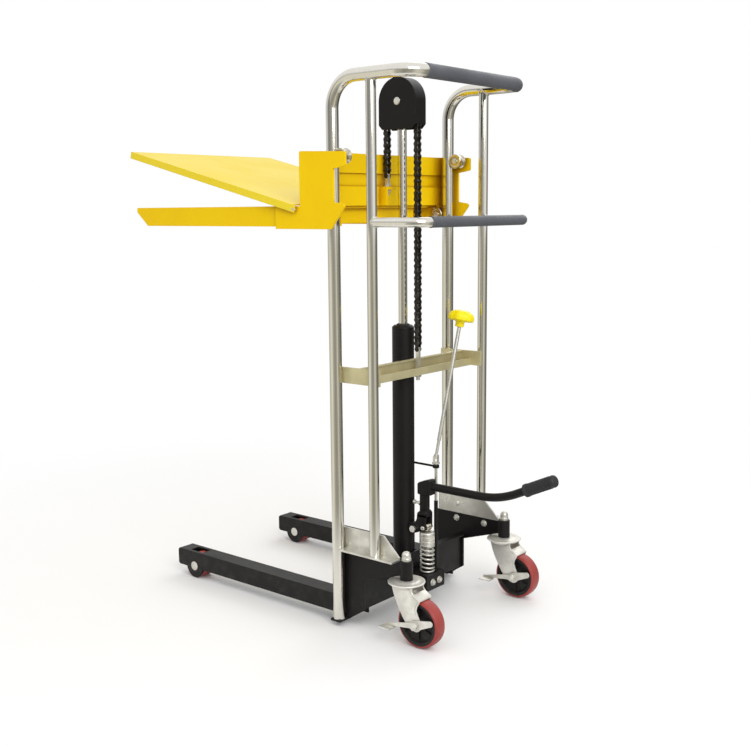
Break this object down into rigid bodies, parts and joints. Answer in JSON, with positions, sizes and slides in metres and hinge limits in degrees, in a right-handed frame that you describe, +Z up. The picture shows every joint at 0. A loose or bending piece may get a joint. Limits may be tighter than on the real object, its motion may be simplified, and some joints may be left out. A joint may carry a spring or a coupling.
{
  "type": "hand pallet stacker",
  "caption": "Hand pallet stacker with a chromed tube mast, straddle base, foot-pumped chain lift, yellow forks with a tilting platform, release knob and braked castors.",
  "frame": {"origin": "on the floor, under the middle of the machine's overall box", "axes": "+Z up, +X towards the operator's left, forks towards -Y and handles towards +Y"},
  "size_m": [0.562, 1.266, 1.4304],
  "materials": {
    "chrome": "polished plating",
    "zinc": "bright zinc plating",
    "black_paint": "satin powder coat",
    "yellow_paint": "gloss powder coat",
    "oiled_chain": "dark oiled steel",
    "red_tread": "cast polyurethane",
    "dark_hub": "moulded",
    "grip_rubber": "soft sleeve",
    "yellow_knob": "moulded"
  },
  "bodies": {
    "mast_frame": {"left_mast_tube": "chrome", "right_mast_tube": "chrome", "top_handle_bow": "chrome", "top_grip": "grip_rubber", "rear_tubes": "chrome", "lower_handle_bow": "chrome", "lower_grip": "grip_rubber", "mid_brace": "zinc", "rear_chain_anchor": "zinc", "left_castor_arm": "black_paint", "right_castor_arm": "black_paint", "base_cross_wall": "black_paint", "left_leg": "black_paint", "right_leg": "black_paint", "leg_axles": "zinc", "tube_brackets": "zinc", "frame_bolts": "zinc", "cylinder_barrel": "black_paint", "cylinder_gland": "black_paint", "pump_block": "black_paint", "castor_stems": "zinc", "chain_rear_run": "oiled_chain", "pump_spring": "zinc"},
    "lift_rod": {"piston_rod": "chrome", "sheave_pin": "zinc", "sheave_guard": "black_paint", "chain_over_sheave": "oiled_chain"},
    "sheave": {"chain_sheave": "black_paint"},
    "carriage": {"left_side_plate": "yellow_paint", "right_side_plate": "yellow_paint", "left_fork": "yellow_paint", "right_fork": "yellow_paint", "upper_cross_beam": "yellow_paint", "lower_cross_beam": "yellow_paint", "heel_plate": "yellow_paint", "front_chain_anchor": "zinc", "carriage_pins": "zinc", "chain_front_run": "oiled_chain"},
    "left_upper_roller": {"left_upper_guide_roller": "zinc"},
    "right_upper_roller": {"right_upper_guide_roller": "zinc"},
    "left_lower_roller": {"left_lower_guide_roller": "zinc"},
    "right_lower_roller": {"right_lower_guide_roller": "zinc"},
    "platform": {"load_platform": "yellow_paint"},
    "pedal": {"pedal_lever": "black_paint", "pedal_grip": "grip_rubber"},
    "plunger": {"pump_plunger": "zinc"},
    "release": {"release_rod": "zinc", "release_knob": "yellow_knob"},
    "spindle": {"valve_spindle": "zinc"},
    "left_castor": {"left_castor_yoke": "zinc"},
    "left_wheel": {"left_castor_tread": "red_tread", "left_castor_hub": "dark_hub"},
    "left_brake": {"left_castor_brake_lever": "zinc"},
    "right_castor": {"right_castor_yoke": "zinc"},
    "right_wheel": {"right_castor_tread": "red_tread", "right_castor_hub": "dark_hub"},
    "right_brake": {"right_castor_brake_lever": "zinc"},
    "left_leg_roller": {"left_front_roller": "red_tread"},
    "right_leg_roller": {"right_front_roller": "red_tread"}
  },
  "joints": [
    {"name": "rod_lift", "type": "slide", "parent": "mast_frame", "child": "lift_rod", "axis": [0, 0, 1], "range_m": [-0.485, 0.05], "deforming": ["chain_rear_run"]},
    {"name": "carriage_lift", "type": "slide", "parent": "lift_rod", "child": "carriage", "axis": [0, 0, 1], "range_m": [-0.485, 0.05], "deforming": ["chain_front_run"]},
    {"name": "sheave_spin", "type": "hinge", "parent": "lift_rod", "child": "sheave", "pos_m": [0, 0.1495, 1.369], "axis": [1, 0, 0], "range_deg": [-60, 552]},
    {"name": "left_upper_roller_spin", "type": "hinge", "parent": "carriage", "child": "left_upper_roller", "pos_m": [0.245, 0.1543, 1.221], "axis": [1, 0, 0], "continuous": true},
    {"name": "left_lower_roller_spin", "type": "hinge", "parent": "carriage", "child": "left_lower_roller", "pos_m": [0.245, 0.0897, 1.074], "axis": [1, 0, 0], "continuous": true},
    {"name": "right_upper_roller_spin", "type": "hinge", "parent": "carriage", "child": "right_upper_roller", "pos_m": [-0.245, 0.1543, 1.221], "axis": [1, 0, 0], "continuous": true},
    {"name": "right_lower_roller_spin", "type": "hinge", "parent": "carriage", "child": "right_lower_roller", "pos_m": [-0.245, 0.0897, 1.074], "axis": [1, 0, 0], "continuous": true},
    {"name": "platform_tilt", "type": "hinge", "parent": "carriage", "child": "platform", "pos_m": [0, 0.014, 1.092], "axis": [-1, 0, 0], "range_deg": [-13.7, 60]},
    {"name": "pedal_press", "type": "hinge", "parent": "mast_frame", "child": "pedal", "pos_m": [0, 0.196, 0.222], "axis": [-1, 0, 0], "range_deg": [0, 27], "stiffness_Nm_per_rad": 30, "springref_deg": -28.65},
    {"name": "plunger_stroke", "type": "slide", "parent": "mast_frame", "child": "plunger", "axis": [0, 0, -1], "range_m": [0, 0.015], "deforming": ["pump_spring"]},
    {"name": "release_turn", "type": "hinge", "parent": "mast_frame", "child": "release", "pos_m": [-0.026, 0.241, 0.423], "axis": [-0.2173, 0.0582, 0.9744], "range_deg": [0, 90]},
    {"name": "spindle_turn", "type": "hinge", "parent": "mast_frame", "child": "spindle", "pos_m": [-0.026, 0.241, 0.404], "axis": [0, 0, 1], "range_deg": [0, 90]},
    {"name": "left_castor_swivel", "type": "hinge", "parent": "mast_frame", "child": "left_castor", "pos_m": [0.226, 0.334, 0.166], "axis": [0, 0, 1], "continuous": true},
    {"name": "left_wheel_spin", "type": "hinge", "parent": "left_castor", "child": "left_wheel", "pos_m": [0.226, 0.381, 0.0625], "axis": [1, 0, 0], "continuous": true},
    {"name": "left_brake_press", "type": "hinge", "parent": "left_castor", "child": "left_brake", "pos_m": [0.226, 0.381, 0.0625], "axis": [1, 0, 0], "range_deg": [0, 18]},
    {"name": "left_leg_roller_spin", "type": "hinge", "parent": "mast_frame", "child": "left_leg_roller", "pos_m": [0.216, -0.46, 0.0365], "axis": [1, 0, 0], "continuous": true},
    {"name": "right_castor_swivel", "type": "hinge", "parent": "mast_frame", "child": "right_castor", "pos_m": [-0.226, 0.334, 0.166], "axis": [0, 0, 1], "continuous": true},
    {"name": "right_wheel_spin", "type": "hinge", "parent": "right_castor", "child": "right_wheel", "pos_m": [-0.226, 0.381, 0.0625], "axis": [1, 0, 0], "continuous": true},
    {"name": "right_brake_press", "type": "hinge", "parent": "right_castor", "child": "right_brake", "pos_m": [-0.226, 0.381, 0.0625], "axis": [1, 0, 0], "range_deg": [0, 18]},
    {"name": "right_leg_roller_spin", "type": "hinge", "parent": "mast_frame", "child": "right_leg_roller", "pos_m": [-0.216, -0.46, 0.0365], "axis": [1, 0, 0], "continuous": true}
  ],
  "couplings": [
    {"joint": "carriage_lift", "follows": "rod_lift", "ratio": 1},
    {"joint": "sheave_spin", "follows": "rod_lift", "rad_per_m": -19.708},
    {"joint": "plunger_stroke", "follows": "pedal_press", "m_per_rad": 0.031619},
    {"joint": "spindle_turn", "follows": "release_turn", "ratio": 1}
  ]
}
